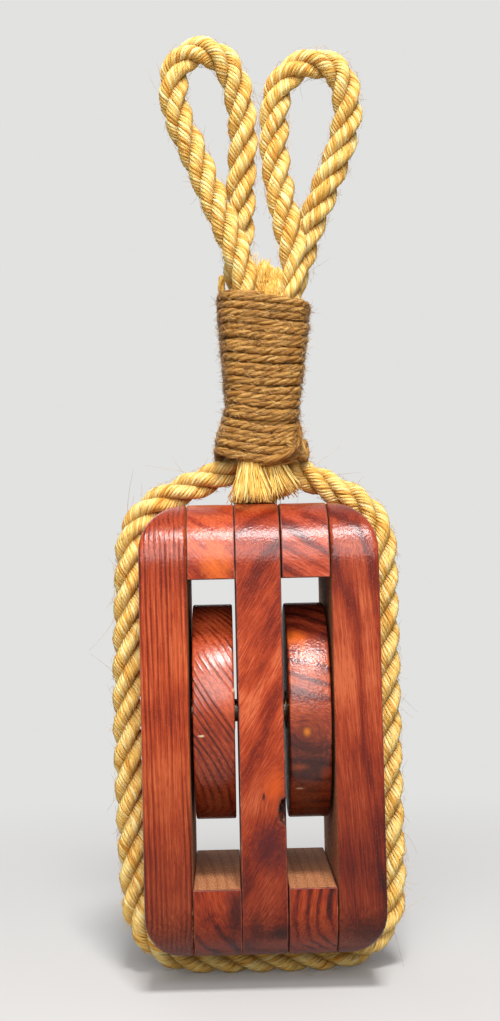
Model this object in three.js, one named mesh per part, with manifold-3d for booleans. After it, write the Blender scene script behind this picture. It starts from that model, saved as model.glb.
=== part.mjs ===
// Rope-stropped double pulley block with two soft rope eyes.
// Millimetres, +Z up, +X along the sheave pin to the right, the front faces -Y.
// The pieces are built about the middle of the sheave pin, and the whole is then
// let down until the origin is the point under the eyes' crowns that it hangs from.

import * as THREE from "three";
import { mergeVertices } from "three/addons/utils/BufferGeometryUtils.js";
import Module from "manifold-3d";

const wasm = await Module();
wasm.setup();

// Width of the stock that the shell's boards and the sheaves are both cut from
const boardWidth = 88.9;

// Shell: five boards side by side, cheeks outside, a partition in the middle, and
// a head and a tail spacer in each of the two slots
const shellDepth = boardWidth;
const cheekThickness = 18.9;
const partitionThickness = 17.9;
const spacerThickness = 19;
const spacerHeight = 30.5;
const leftJointGap = 0.1;
const rightJointGap = 0.45;
const endRollRadius = 25;
const sideCornerRadius = 18.8;
const edgeRound = 2.5;

// Chipped knot on the partition's front right edge
const chipBelowPin = 36;
const chipHeight = 11;
const chipWidth = 6;
const chipDepth = 9;

// Sheaves, the open swallows above and below them, their bushes and their pin
const sheaveDiameter = boardWidth;
const upperSwallow = 10.45;
const lowerSwallow = 21.15;
const sheaveThickness = 16.4;
const sheaveEdge = 0.8;
const leftSheaveShift = 0;
const rightSheaveShift = 0.5;
const bushWall = 2.9;
const bushProud = 0.3;
const pinDiameter = 9.5;
const pinRecess = 1.6;
const pinChamfer = 0.8;

// Blind dowels that line up the boards
const dowelDiameter = 8;
const dowelSpread = 40;
const dowelGrip = 11;

// Rope, its score in the shell, and the seizing that gathers it
const ropeDiameter = 12.7;
const scoreDepth = 1;
const seatClearance = 0.3;
const leftRunBow = 2.2;
const seizingStandoff = 17.8;
const seizingLength = 69;
const seizingShift = 5;
const eyeRise = 108.1;
const twineDiameter = 2.5;
const sideLift = 4.5;
const knotDiameter = 10;
const knotStrand = 2.1;

// Clearance of turned and cut pieces, the least step between two sections of a
// cheek, and how far a cutter runs past a face
const fitClearance = 0.3;
const cheekTurnGap = 0.15;
const overrun = 5;

// Counts
const chipSteps = 12;
const roundSteps = 48;
const smallRoundSteps = 24;
const cornerSteps = 8;
const lapTurnSteps = 6;
const ropeSides = 12;
const scoreSides = 16;
const seizingTurns = 22;
const stepsPerTurn = 24;
const twineSides = 6;
const knotSteps = 40;

// Places that follow from the sizes
const ropeRadius = ropeDiameter / 2;
const twineRadius = twineDiameter / 2;
const bushBore = pinDiameter + 2 * fitClearance;
const bushDiameter = bushBore + 2 * bushWall;
const frontFace = -shellDepth / 2;
const headTop = sheaveDiameter / 2 + upperSwallow + spacerHeight;
const tailBottom = -(sheaveDiameter / 2 + lowerSwallow + spacerHeight);
const shellHeight = headTop - tailBottom;
const partitionHalf = partitionThickness / 2;
const leftSpacerInner = -(partitionHalf + leftJointGap);
const leftSpacerOuter = leftSpacerInner - spacerThickness;
const leftCheekInner = leftSpacerOuter - leftJointGap;
const leftCheekOuter = leftCheekInner - cheekThickness;
const rightSpacerInner = partitionHalf + rightJointGap;
const rightSpacerOuter = rightSpacerInner + spacerThickness;
const rightCheekInner = rightSpacerOuter + rightJointGap;
const rightCheekOuter = rightCheekInner + cheekThickness;
const cornerRadius = Math.min(sideCornerRadius, cheekThickness);
const rollRadius = Math.min(endRollRadius, spacerHeight, shellDepth / 2);
const dowelHeights = [headTop - spacerHeight / 2, tailBottom + spacerHeight / 2];
const seizingFoot = headTop + seizingStandoff;
const seizingHead = seizingFoot + seizingLength;

// Shapes that several pieces share

function solidOf(geometry) {
  const bare = geometry.clone();
  bare.deleteAttribute("normal");
  bare.deleteAttribute("uv");
  const closed = mergeVertices(bare);
  const vertProperties = Float32Array.from(closed.attributes.position.array);
  const triVerts = Uint32Array.from(closed.index.array);
  return new wasm.Manifold(new wasm.Mesh({ numProp: 3, vertProperties, triVerts }));
}

function geometryOf(solid) {
  const mesh = solid.getMesh();
  const geometry = new THREE.BufferGeometry();
  geometry.setAttribute("position", new THREE.BufferAttribute(mesh.vertProperties, 3));
  geometry.setIndex(new THREE.BufferAttribute(mesh.triVerts, 1));
  geometry.computeVertexNormals();
  return geometry;
}

function cutAway(geometry, cutters) {
  let solid = solidOf(geometry);
  for (const cutter of cutters) {
    solid = solid.subtract(solidOf(cutter));
  }
  return geometryOf(solid);
}

// Closed rings of equally many points, joined in order and closed by flat ends
function loftThrough(rings) {
  const count = rings[0].length;
  const positions = rings.flat().flatMap((point) => [point.x, point.y, point.z]);
  const indices = [];
  for (let ring = 0; ring + 1 < rings.length; ring += 1) {
    for (let side = 0; side < count; side += 1) {
      const near = ring * count + side;
      const next = ring * count + ((side + 1) % count);
      indices.push(near, next, near + count);
      indices.push(next, next + count, near + count);
    }
  }
  const lastRing = (rings.length - 1) * count;
  for (let side = 1; side + 1 < count; side += 1) {
    indices.push(0, side + 1, side);
    indices.push(lastRing, lastRing + side, lastRing + side + 1);
  }
  const geometry = new THREE.BufferGeometry();
  geometry.setAttribute("position", new THREE.Float32BufferAttribute(positions, 3));
  geometry.setIndex(indices);
  geometry.computeVertexNormals();
  return geometry;
}

// A round or oval tube through points; sectionAt gives its half width and its half
// height, and the height stays along the upright axis
function tubeThrough(points, upright, sectionAt, sides) {
  const last = points.length - 1;
  const rings = points.map((point, index) => {
    const before = points[Math.max(index - 1, 0)];
    const after = points[Math.min(index + 1, last)];
    const along = after.clone().sub(before).normalize();
    const high = upright.clone().addScaledVector(along, -upright.dot(along)).normalize();
    const wide = high.clone().cross(along);
    const [halfWidth, halfHeight] = sectionAt(point);
    const ring = [];
    for (let side = 0; side < sides; side += 1) {
      const angle = (2 * Math.PI * side) / sides;
      const rim = point.clone().addScaledVector(wide, halfWidth * Math.cos(angle));
      ring.push(rim.addScaledVector(high, halfHeight * Math.sin(angle)));
    }
    return ring;
  });
  return loftThrough(rings);
}

// A turned piece on the pin's axis, from pairs of a radius and a place along X
function turnedOnPin(profile, steps) {
  const points = profile.map(([radius, x]) => new THREE.Vector2(radius, x));
  const geometry = new THREE.LatheGeometry(points, steps);
  geometry.rotateZ(-Math.PI / 2);
  return geometry;
}

function rodAlongX(radius, fromX, toX, y, z, steps) {
  const geometry = new THREE.CylinderGeometry(radius, radius, toX - fromX, steps);
  geometry.rotateZ(Math.PI / 2);
  geometry.translate((fromX + toX) / 2, y, z);
  return geometry;
}

// Straight-line reading of a table of pairs, a place and its value
function readTable(table, place) {
  const last = table.length - 1;
  if (place <= table[0][0]) return table[0][1];
  if (place >= table[last][0]) return table[last][1];
  const row = table.findIndex((entry) => entry[0] > place);
  const [placeBefore, valueBefore] = table[row - 1];
  const [placeAfter, valueAfter] = table[row];
  const part = (place - placeBefore) / (placeAfter - placeBefore);
  return valueBefore + (valueAfter - valueBefore) * part;
}

// Shell boards

// One corner of the shell's side profile, from its front or back up to its top: the
// roll, and a small round where the board's own lowered top cuts the roll short
function profileCorner(drop, inset) {
  const centreY = shellDepth / 2 - rollRadius;
  const centreZ = shellHeight / 2 - rollRadius;
  const roll = rollRadius - inset;
  const flatZ = shellHeight / 2 - Math.max(drop, inset);
  const small = Math.min(edgeRound, (flatZ - centreZ) / 2, roll / 2);
  const smallZ = flatZ - small;
  const rise = smallZ - centreZ;
  const smallY = centreY + Math.sqrt(Math.max((roll - small) ** 2 - rise ** 2, 0));
  const meetAngle = Math.atan2(rise, smallY - centreY);
  const rollLength = roll * meetAngle;
  const fullLength = rollLength + small * (Math.PI / 2 - meetAngle);
  const corner = [];
  for (let step = 0; step <= cornerSteps; step += 1) {
    const gone = (fullLength * step) / cornerSteps;
    if (gone <= rollLength) {
      const angle = gone / roll;
      corner.push([centreY + roll * Math.cos(angle), centreZ + roll * Math.sin(angle)]);
    } else {
      const angle = meetAngle + (gone - rollLength) / small;
      corner.push([smallY + small * Math.cos(angle), smallZ + small * Math.sin(angle)]);
    }
  }
  return corner;
}

function profileRing(x, drop, inset) {
  const middleZ = (headTop + tailBottom) / 2;
  const corner = profileCorner(drop, inset);
  const turned = [...corner].reverse();
  const ring = [
    ...corner.map(([y, z]) => [y, z]),
    ...turned.map(([y, z]) => [-y, z]),
    ...corner.map(([y, z]) => [-y, -z]),
    ...turned.map(([y, z]) => [y, -z]),
  ];
  return ring.map(([y, z]) => new THREE.Vector3(x, y, middleZ + z));
}

// A cheek's top and bottom fall away round its outer corner, and its outer face has
// a small round all the way about
const cheekTurnDegrees = [0, 12, 24, 36, 48, 60, 68, 76, 83, 90];

function cheekBlank(inner, outer) {
  const outward = Math.sign(outer - inner);
  const rings = [profileRing(inner, 0, 0)];
  for (const degrees of cheekTurnDegrees) {
    const angle = (degrees * Math.PI) / 180;
    const toFace = cornerRadius * (1 - Math.sin(angle));
    const drop = cornerRadius * (1 - Math.cos(angle));
    const intoRound = Math.max(edgeRound - toFace, 0);
    const inset = edgeRound - Math.sqrt(edgeRound ** 2 - intoRound ** 2);
    const x = outer - outward * toFace;
    if (outward * (x - inner) > cheekTurnGap) {
      rings.push(profileRing(x, drop, inset));
    }
  }
  if (outward < 0) rings.reverse();
  return loftThrough(rings);
}

// Holes for the pin and the dowels, from one X to another
function pinHole(fromX, toX) {
  return rodAlongX(pinDiameter / 2 + fitClearance, fromX, toX, 0, 0, smallRoundSteps);
}

function dowelHoles(fromX, toX, heights) {
  const radius = dowelDiameter / 2 + fitClearance;
  return heights.flatMap((z) => [-1, 1].map((side) => (
    rodAlongX(radius, fromX, toX, (side * dowelSpread) / 2, z, smallRoundSteps)
  )));
}

function cheek(inner, outer) {
  const outward = Math.sign(outer - inner);
  const open = inner - outward * overrun;
  const blind = inner + outward * (dowelGrip + fitClearance);
  const past = outer + outward * overrun;
  return cutAway(cheekBlank(inner, outer), [
    pinHole(Math.min(open, past), Math.max(open, past)),
    ...dowelHoles(Math.min(open, blind), Math.max(open, blind), dowelHeights),
    scoreCutter(),
  ]);
}

function centrePartition() {
  const blank = loftThrough([
    profileRing(-partitionHalf, 0, 0),
    profileRing(partitionHalf, 0, 0),
  ]);
  const past = partitionHalf + overrun;
  const chip = new THREE.SphereGeometry(1, chipSteps, chipSteps / 2);
  chip.scale(chipWidth / 2, chipDepth / 2, chipHeight / 2);
  chip.translate(partitionHalf, frontFace, -chipBelowPin);
  return cutAway(blank, [
    pinHole(-past, past),
    ...dowelHoles(-past, past, dowelHeights),
    scoreCutter(),
    chip,
  ]);
}

// A spacer's side outline: square where it faces the slot, rolled at the shell's end
function spacer(innerX, outerX, isHead) {
  const halfDepth = shellDepth / 2;
  const rollY = halfDepth - rollRadius;
  const outline = new THREE.Shape();
  outline.moveTo(-halfDepth, 0);
  outline.lineTo(halfDepth, 0);
  outline.lineTo(halfDepth, spacerHeight - rollRadius);
  outline.absarc(rollY, spacerHeight - rollRadius, rollRadius, 0, Math.PI / 2);
  outline.lineTo(-rollY, spacerHeight);
  outline.absarc(-rollY, spacerHeight - rollRadius, rollRadius, Math.PI / 2, Math.PI);
  outline.closePath();
  const fromX = Math.min(innerX, outerX);
  const blank = new THREE.ExtrudeGeometry(outline, {
    depth: spacerThickness,
    bevelEnabled: false,
    curveSegments: cornerSteps / 2,
  });
  const profileAxes = new THREE.Matrix4().makeBasis(
    new THREE.Vector3(0, 1, 0),
    new THREE.Vector3(0, 0, 1),
    new THREE.Vector3(1, 0, 0),
  );
  blank.applyMatrix4(profileAxes);
  if (!isHead) blank.rotateX(Math.PI);
  const slotEdge = isHead ? headTop - spacerHeight : tailBottom + spacerHeight;
  blank.translate(fromX, 0, slotEdge);
  const height = isHead ? dowelHeights[0] : dowelHeights[1];
  return cutAway(blank, [
    ...dowelHoles(fromX - overrun, fromX + spacerThickness + overrun, [height]),
    scoreCutter(),
  ]);
}

// Pin, dowels, sheaves and bushes

function sheavePin() {
  const radius = pinDiameter / 2;
  const left = leftCheekOuter + pinRecess;
  const right = rightCheekOuter - pinRecess;
  return turnedOnPin([
    [0, left],
    [radius - pinChamfer, left],
    [radius, left + pinChamfer],
    [radius, right - pinChamfer],
    [radius - pinChamfer, right],
    [0, right],
  ], smallRoundSteps);
}

function dowel(side, height) {
  const left = leftCheekInner - dowelGrip;
  const right = rightCheekInner + dowelGrip;
  return rodAlongX(dowelDiameter / 2, left, right, (side * dowelSpread) / 2, height, ropeSides);
}

// Middle of each slot, with the sheave's own small shift along the pin
const leftSheaveX = (leftCheekInner - partitionHalf) / 2 + leftSheaveShift;
const rightSheaveX = (rightCheekInner + partitionHalf) / 2 + rightSheaveShift;

function sheave(middleX) {
  const boreRadius = bushDiameter / 2 + fitClearance;
  const rimRadius = sheaveDiameter / 2;
  const half = sheaveThickness / 2;
  return turnedOnPin([
    [boreRadius, middleX - half],
    [rimRadius - sheaveEdge, middleX - half],
    [rimRadius, middleX - half + sheaveEdge],
    [rimRadius, middleX + half - sheaveEdge],
    [rimRadius - sheaveEdge, middleX + half],
    [boreRadius, middleX + half],
    [boreRadius, middleX - half],
  ], roundSteps);
}

function sheaveBush(middleX) {
  const boreRadius = bushBore / 2;
  const outerRadius = bushDiameter / 2;
  const half = sheaveThickness / 2 + bushProud;
  return turnedOnPin([
    [boreRadius, middleX - half],
    [outerRadius, middleX - half],
    [outerRadius, middleX + half],
    [boreRadius, middleX + half],
    [boreRadius, middleX - half],
  ], smallRoundSteps);
}

// Ropes

const depthAxis = new THREE.Vector3(0, 1, 0);
const heightAxis = new THREE.Vector3(0, 0, 1);

// Heights on the ropes: under nought a share of the standoff, from nought to one a
// share of the seizing, past one a share of the eyes' rise
function ropeHeight(share) {
  if (share < 0) return seizingFoot + share * seizingStandoff;
  if (share > 1) return seizingHead + (share - 1) * eyeRise;
  return seizingFoot + share * seizingLength;
}

function shareOfHeight(z) {
  if (z < seizingFoot) return (z - seizingFoot) / seizingStandoff;
  if (z > seizingHead) return 1 + (z - seizingHead) / eyeRise;
  return (z - seizingFoot) / seizingLength;
}

// Across and deep in rope diameters from the seizing's middle, and the height
function ropePoints(shares) {
  return shares.map(([across, deep, height]) => new THREE.Vector3(
    seizingShift + across * ropeDiameter,
    deep * ropeDiameter,
    ropeHeight(height),
  ));
}

// Half width and half depth from tables of shares of the rope's diameter
function ovalSection(widthShares, depthShares) {
  return (point) => {
    const height = shareOfHeight(point.z);
    return [
      ropeDiameter * readTable(widthShares, height),
      ropeDiameter * readTable(depthShares, height),
    ];
  };
}

// The strop goes round the shell in its score, and both its legs stand side by side
// in the middle of the seizing, with their cut ends showing between the eyes
const stropLeftLegShares = [
  [-0.08, 0.08, 1.128], [-0.16, 0.08, 1.072], [-0.3, 0.04, 0.997],
  [-0.44, 0, 0.82], [-0.5, 0, 0.65], [-0.5, 0, 0.243], [-0.55, 0, 0.128],
  [-0.66, 0, 0.05], [-1.2, 0, -0.13], [-2.1, 0, -0.4],
];
const stropRightLegShares = [
  [1.8, 0, -0.47], [1.14, 0, -0.19], [0.8, 0, 0.05],
  [0.6, 0, 0.128], [0.485, 0, 0.243], [0.5, 0, 0.65], [0.58, 0, 0.82],
  [0.58, 0.04, 0.94], [0.49, 0.08, 1.054], [0.41, 0.08, 1.109],
];
const stropWidthShares = [[-0.35, 0.5], [0.05, 0.46], [0.7, 0.475], [1.12, 0.24]];
const stropDepthShares = [[0.03, 0.5], [0.12, 0.386], [0.7, 0.386], [1.12, 0.3]];

// Where the strop leaves the shell's corners for the seizing, in degrees
const leftLeaves = 114;
const rightLeaves = 61;
const leftRunShares = [0.25, 0.5, 0.75];
const rightRunShares = [0.67, 0.33];

function arcPoints(centreX, centreZ, radius, fromDegrees, toDegrees) {
  const points = [];
  for (let step = 0; step <= lapTurnSteps; step += 1) {
    const degrees = fromDegrees + ((toDegrees - fromDegrees) * step) / lapTurnSteps;
    const angle = (degrees * Math.PI) / 180;
    const x = centreX + radius * Math.cos(angle);
    points.push(new THREE.Vector3(x, 0, centreZ + radius * Math.sin(angle)));
  }
  return points;
}

function lapAroundShell() {
  const lapRadius = cornerRadius + ropeRadius + seatClearance - scoreDepth;
  const leftX = leftCheekOuter + cornerRadius;
  const rightX = rightCheekOuter - cornerRadius;
  const highZ = headTop - cornerRadius;
  const lowZ = tailBottom + cornerRadius;
  const leftRun = leftRunShares.map((share) => new THREE.Vector3(
    leftX - lapRadius - leftRunBow * Math.sin(share * Math.PI),
    0,
    highZ + (lowZ - highZ) * share,
  ));
  const rightRun = rightRunShares.map((share) => new THREE.Vector3(
    rightX + lapRadius,
    0,
    highZ + (lowZ - highZ) * share,
  ));
  return [
    ...arcPoints(leftX, highZ, lapRadius, leftLeaves, 180),
    ...leftRun,
    ...arcPoints(leftX, lowZ, lapRadius, 180, 270),
    ...arcPoints(rightX, lowZ, lapRadius, 270, 360),
    ...rightRun,
    ...arcPoints(rightX, highZ, lapRadius, 0, rightLeaves),
  ];
}

const stropPoints = [
  ...ropePoints(stropLeftLegShares),
  ...lapAroundShell(),
  ...ropePoints(stropRightLegShares),
];

function stropRope() {
  const section = ovalSection(stropWidthShares, stropDepthShares);
  return tubeThrough(stropPoints, depthAxis, section, ropeSides);
}

function scoreCutter() {
  const radius = ropeRadius + seatClearance;
  return tubeThrough(stropPoints, depthAxis, () => [radius, radius], scoreSides);
}

// Each eye rope starts in a frayed end in front of the shell's head, goes up the
// front of the seizing, round its eye, behind itself and down the seizing's back
const leftEyeShares = [
  [-0.61, -1.13, -0.91], [-0.62, -1.0, -0.35], [-0.6, -0.92, 0.012],
  [-0.55, -0.84, 0.128], [-0.46, -0.8, 0.243], [-0.46, -0.79, 0.65],
  [-0.5, -0.76, 0.94], [-0.58, -0.71, 1.072], [-0.82, -0.6, 1.183],
  [-1.23, -0.44, 1.313], [-1.75, -0.2, 1.464], [-2.2, -0.08, 1.6],
  [-2.62, -0.05, 1.716], [-2.83, -0.03, 1.831], [-2.71, -0.02, 1.927],
  [-2.31, 0, 1.987], [-1.73, 0.02, 2], [-1.17, 0.05, 1.969],
  [-0.78, 0.08, 1.895], [-0.59, 0.09, 1.796], [-0.51, 0.11, 1.697],
  [-0.53, 0.16, 1.588], [-0.61, 0.25, 1.473], [-0.63, 0.39, 1.377],
  [-0.69, 0.52, 1.276], [-0.8, 0.63, 1.165], [-0.68, 0.73, 1.054],
  [-0.5, 0.772, 0.94], [-0.46, 0.79, 0.65], [-0.46, 0.8, 0.243],
  [-0.5, 0.84, 0.128], [-0.55, 0.92, 0.012], [-0.66, 1, -0.5],
];
const rightEyeShares = [
  [0.43, -0.83, -0.85], [0.37, -0.88, -0.35], [0.31, -0.92, 0.012],
  [0.37, -0.84, 0.128], [0.43, -0.8, 0.243], [0.52, -0.79, 0.65],
  [0.68, -0.76, 0.94], [0.83, -0.71, 1.072], [0.93, -0.58, 1.165],
  [0.89, -0.5, 1.257], [0.77, -0.36, 1.36], [0.62, -0.22, 1.47],
  [0.52, -0.11, 1.586], [0.53, -0.06, 1.692], [0.62, -0.03, 1.803],
  [0.92, -0.02, 1.886], [1.4, 0, 1.93], [2.09, 0.02, 1.947],
  [2.77, 0.05, 1.905], [3.02, 0.06, 1.794], [2.95, 0.09, 1.69],
  [2.68, 0.14, 1.581], [2.34, 0.22, 1.488], [1.98, 0.31, 1.384],
  [1.66, 0.43, 1.294], [1.41, 0.54, 1.202], [1.21, 0.63, 1.109],
  [0.86, 0.765, 0.94], [0.71, 0.785, 0.65], [0.43, 0.8, 0.243],
  [0.36, 0.84, 0.128], [0.3, 0.92, 0.012], [0.42, 1, -0.5],
];
const eyeWidthShares = [[-0.91, 0.62], [-0.05, 0.34], [0.13, 0.415], [0.92, 0.415], [1.06, 0.5]];
const eyeDepthShares = [[-0.91, 0.23], [-0.35, 0.33], [0, 0.386], [0.97, 0.386], [1.08, 0.5]];

function eyeRope(shares) {
  const curve = new THREE.CatmullRomCurve3(ropePoints(shares), false, "centripetal");
  const points = curve.getPoints(2 * (shares.length - 1));
  const section = ovalSection(eyeWidthShares, eyeDepthShares);
  return tubeThrough(points, depthAxis, section, ropeSides);
}

// The origin: midway in height between the crowns of the two eyes, under the rope
const meanCrownShare = (Math.max(...leftEyeShares.map((point) => point[2]))
  + Math.max(...rightEyeShares.map((point) => point[2]))) / 2;
const hangingHeight = ropeHeight(meanCrownShare) - ropeRadius;

// Seizing: one length of twine wound tightly about the six legs of rope

// Middle and half sizes of the bundle of legs, in rope diameters, up the seizing
const bundleMiddleShares = [[0, 0.02], [0.18, -0.01], [0.29, -0.02], [0.62, 0.06], [0.94, 0.19]];
const bundleWidthShares = [
  [0, 1.32], [0.1, 1.12], [0.18, 1], [0.29, 1.04], [0.62, 1.18], [0.94, 1.3], [1, 1.34],
];
const bundleDepthShares = [[0, 1.34], [0.1, 1.26], [0.18, 1.2], [0.9, 1.18], [1, 1.21]];
const bundleSquareness = 4;
const sideLiftSharpness = 1.5;

// A point over the bundle: how far up, the angle from +X, and how far outside it
function bundlePoint(share, angle, outside) {
  const halfWidth = ropeDiameter * readTable(bundleWidthShares, share) + outside;
  const halfDepth = ropeDiameter * readTable(bundleDepthShares, share) + outside;
  const middle = seizingShift + ropeDiameter * readTable(bundleMiddleShares, share);
  const acrossPart = Math.abs(Math.cos(angle) / halfWidth) ** bundleSquareness;
  const deepPart = Math.abs(Math.sin(angle) / halfDepth) ** bundleSquareness;
  const reach = (acrossPart + deepPart) ** (-1 / bundleSquareness);
  const lift = sideLift * (1 - Math.abs(Math.sin(angle)) ** sideLiftSharpness);
  return new THREE.Vector3(
    middle + reach * Math.cos(angle),
    reach * Math.sin(angle),
    seizingFoot + lift + share * (seizingLength - lift),
  );
}

const turnOutside = seatClearance + twineRadius;

function windingPoints() {
  const points = [];
  const steps = seizingTurns * stepsPerTurn;
  for (let step = 0; step <= steps; step += 1) {
    const angle = Math.PI / 2 + (2 * Math.PI * step) / stepsPerTurn;
    points.push(bundlePoint(step / steps, angle, turnOutside));
  }
  const straightOn = (end, before) => {
    const onward = end.clone().sub(before).normalize();
    return end.clone().addScaledVector(onward, twineDiameter);
  };
  const last = points.length - 1;
  points.push(straightOn(points[last], points[last - 1]));
  points.unshift(straightOn(points[0], points[1]));
  return points;
}

function leastGapToItself(points, diameter) {
  let least = Infinity;
  const apart = stepsPerTurn / 2;
  for (let first = 0; first < points.length; first += 1) {
    for (let second = first + apart; second < points.length; second += 1) {
      least = Math.min(least, points[first].distanceTo(points[second]) - diameter);
    }
  }
  return least;
}

function seizingTwine() {
  const points = windingPoints();
  const gap = leastGapToItself(points, twineDiameter);
  console.log(`least gap between turns of the seizing: ${gap.toFixed(2)} mm`);
  return tubeThrough(points, heightAxis, () => [twineRadius, twineRadius], twineSides);
}

// The twine's end rides up over the last turns at the front right
const ridingShares = [[0.22, -62], [0.17, -50], [0.12, -38], [0.08, -27], [0.05, -16], [0.03, -6]];

function ridingEnd() {
  const outside = turnOutside + twineDiameter + seatClearance;
  const points = ridingShares.map(([share, degrees]) => (
    bundlePoint(share, (degrees * Math.PI) / 180, outside)
  ));
  return tubeThrough(points, heightAxis, () => [twineRadius, twineRadius], twineSides);
}

// The knot lies on the last turns at the right, a little to the back
const knotPlaceShares = [0.05, 24];
const knotRingShare = 2 / 3;

function twineKnot() {
  const strandRadius = knotStrand / 2;
  const knotRadius = (knotDiameter / 2 - strandRadius) * knotRingShare;
  const halfThickness = knotRadius / 2 + strandRadius;
  const outside = turnOutside + twineRadius + seatClearance + halfThickness;
  const [share, degrees] = knotPlaceShares;
  const angle = (degrees * Math.PI) / 180;
  const knot = new THREE.TorusKnotGeometry(knotRadius, strandRadius, knotSteps, twineSides, 2, 3);
  knot.rotateY(Math.PI / 2);
  knot.rotateZ(angle / 2);
  const place = bundlePoint(share, angle, outside);
  knot.translate(place.x, place.y, place.z);
  return knot;
}

// Finishes

function finish(color, roughness, metalness) {
  return new THREE.MeshStandardMaterial({ color, roughness, metalness });
}

const stainedPine = finish(0xa64b30, 0.32, 0);
const orangePine = finish(0xb9573a, 0.32, 0);
const darkPine = finish(0x8f3a27, 0.34, 0);
const sheaveWood = finish(0xa04a2c, 0.38, 0);
const birchDowel = finish(0xc9a36b, 0.6, 0);
const steelPin = finish(0x8f9193, 0.35, 1);
const brassBush = finish(0xb48a43, 0.4, 1);
const manila = finish(0xd7a95c, 0.85, 0);
const juteTwine = finish(0x9c6b3a, 0.9, 0);

// Assembly

const block = new THREE.Group();

function add(name, geometry, material) {
  const mesh = new THREE.Mesh(geometry, material);
  mesh.name = name;
  block.add(mesh);
}

add("left_cheek", cheek(leftCheekInner, leftCheekOuter), stainedPine);
add("right_cheek", cheek(rightCheekInner, rightCheekOuter), stainedPine);
add("centre_partition", centrePartition(), orangePine);
add("left_head_spacer", spacer(leftSpacerInner, leftSpacerOuter, true), orangePine);
add("right_head_spacer", spacer(rightSpacerInner, rightSpacerOuter, true), darkPine);
add("left_tail_spacer", spacer(leftSpacerInner, leftSpacerOuter, false), darkPine);
add("right_tail_spacer", spacer(rightSpacerInner, rightSpacerOuter, false), stainedPine);

add("head_dowel_front", dowel(-1, dowelHeights[0]), birchDowel);
add("head_dowel_back", dowel(1, dowelHeights[0]), birchDowel);
add("tail_dowel_front", dowel(-1, dowelHeights[1]), birchDowel);
add("tail_dowel_back", dowel(1, dowelHeights[1]), birchDowel);

add("sheave_pin", sheavePin(), steelPin);
add("left_sheave", sheave(leftSheaveX), sheaveWood);
add("right_sheave", sheave(rightSheaveX), sheaveWood);
add("left_sheave_bush", sheaveBush(leftSheaveX), brassBush);
add("right_sheave_bush", sheaveBush(rightSheaveX), brassBush);

add("strop_rope", stropRope(), manila);
add("left_eye_rope", eyeRope(leftEyeShares), manila);
add("right_eye_rope", eyeRope(rightEyeShares), manila);
add("seizing_twine", seizingTwine(), juteTwine);
add("twine_riding_end", ridingEnd(), juteTwine);
add("twine_knot", twineKnot(), juteTwine);

block.position.z = -hangingHeight;

export default block;
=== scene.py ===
import math

import bmesh
import bpy
import numpy as np
from mathutils import Matrix, Vector


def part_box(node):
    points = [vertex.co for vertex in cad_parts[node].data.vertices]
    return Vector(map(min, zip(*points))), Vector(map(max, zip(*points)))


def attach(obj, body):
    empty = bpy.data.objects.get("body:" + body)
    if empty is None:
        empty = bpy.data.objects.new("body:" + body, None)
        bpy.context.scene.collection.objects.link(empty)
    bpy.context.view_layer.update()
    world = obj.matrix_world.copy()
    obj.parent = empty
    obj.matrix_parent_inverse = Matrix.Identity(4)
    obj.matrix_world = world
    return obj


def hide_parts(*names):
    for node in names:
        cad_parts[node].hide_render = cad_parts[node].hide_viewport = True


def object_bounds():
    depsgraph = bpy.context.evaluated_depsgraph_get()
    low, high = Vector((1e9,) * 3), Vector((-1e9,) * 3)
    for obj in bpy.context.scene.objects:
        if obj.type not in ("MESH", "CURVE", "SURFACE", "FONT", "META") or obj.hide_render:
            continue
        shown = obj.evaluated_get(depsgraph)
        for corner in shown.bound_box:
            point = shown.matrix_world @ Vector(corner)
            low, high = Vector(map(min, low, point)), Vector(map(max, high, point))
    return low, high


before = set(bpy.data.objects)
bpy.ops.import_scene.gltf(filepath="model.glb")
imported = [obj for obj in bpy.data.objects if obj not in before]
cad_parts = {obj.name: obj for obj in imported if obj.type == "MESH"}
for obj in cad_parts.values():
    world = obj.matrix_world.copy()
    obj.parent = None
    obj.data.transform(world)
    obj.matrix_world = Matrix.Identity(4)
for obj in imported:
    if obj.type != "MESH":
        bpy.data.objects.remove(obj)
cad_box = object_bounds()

# Camera. It stands where the photograph was taken from: in front of the block, a little
# above the sheave pin, looking slightly up, with a touch of roll.
pin_height = -0.271085
camera_place = Vector((-0.01239, -0.64583, pin_height + 0.0554))
camera_yaw = math.radians(0.926)
camera_pitch = math.radians(2.506)
camera_roll = math.radians(-1.216)
looking = Vector((
    math.sin(camera_yaw) * math.cos(camera_pitch),
    math.cos(camera_yaw) * math.cos(camera_pitch),
    math.sin(camera_pitch),
))
level_right = Vector((math.cos(camera_yaw), -math.sin(camera_yaw), 0))
level_up = level_right.cross(looking)
right = math.cos(camera_roll) * level_right + math.sin(camera_roll) * level_up
up = math.cos(camera_roll) * level_up - math.sin(camera_roll) * level_right
camera_data = bpy.data.cameras.new("photo_camera")
camera_data.sensor_fit = "VERTICAL"
camera_data.sensor_height = 36
camera_data.lens = 54.03
camera_data.clip_start = 0.01
camera = bpy.data.objects.new("photo_camera", camera_data)
camera.matrix_world = Matrix.Translation(camera_place) @ Matrix((right, up, -looking)).transposed().to_4x4()
bpy.context.scene.collection.objects.link(camera)
bpy.context.scene.camera = camera
bpy.context.scene.view_settings.view_transform = "Standard"

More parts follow.
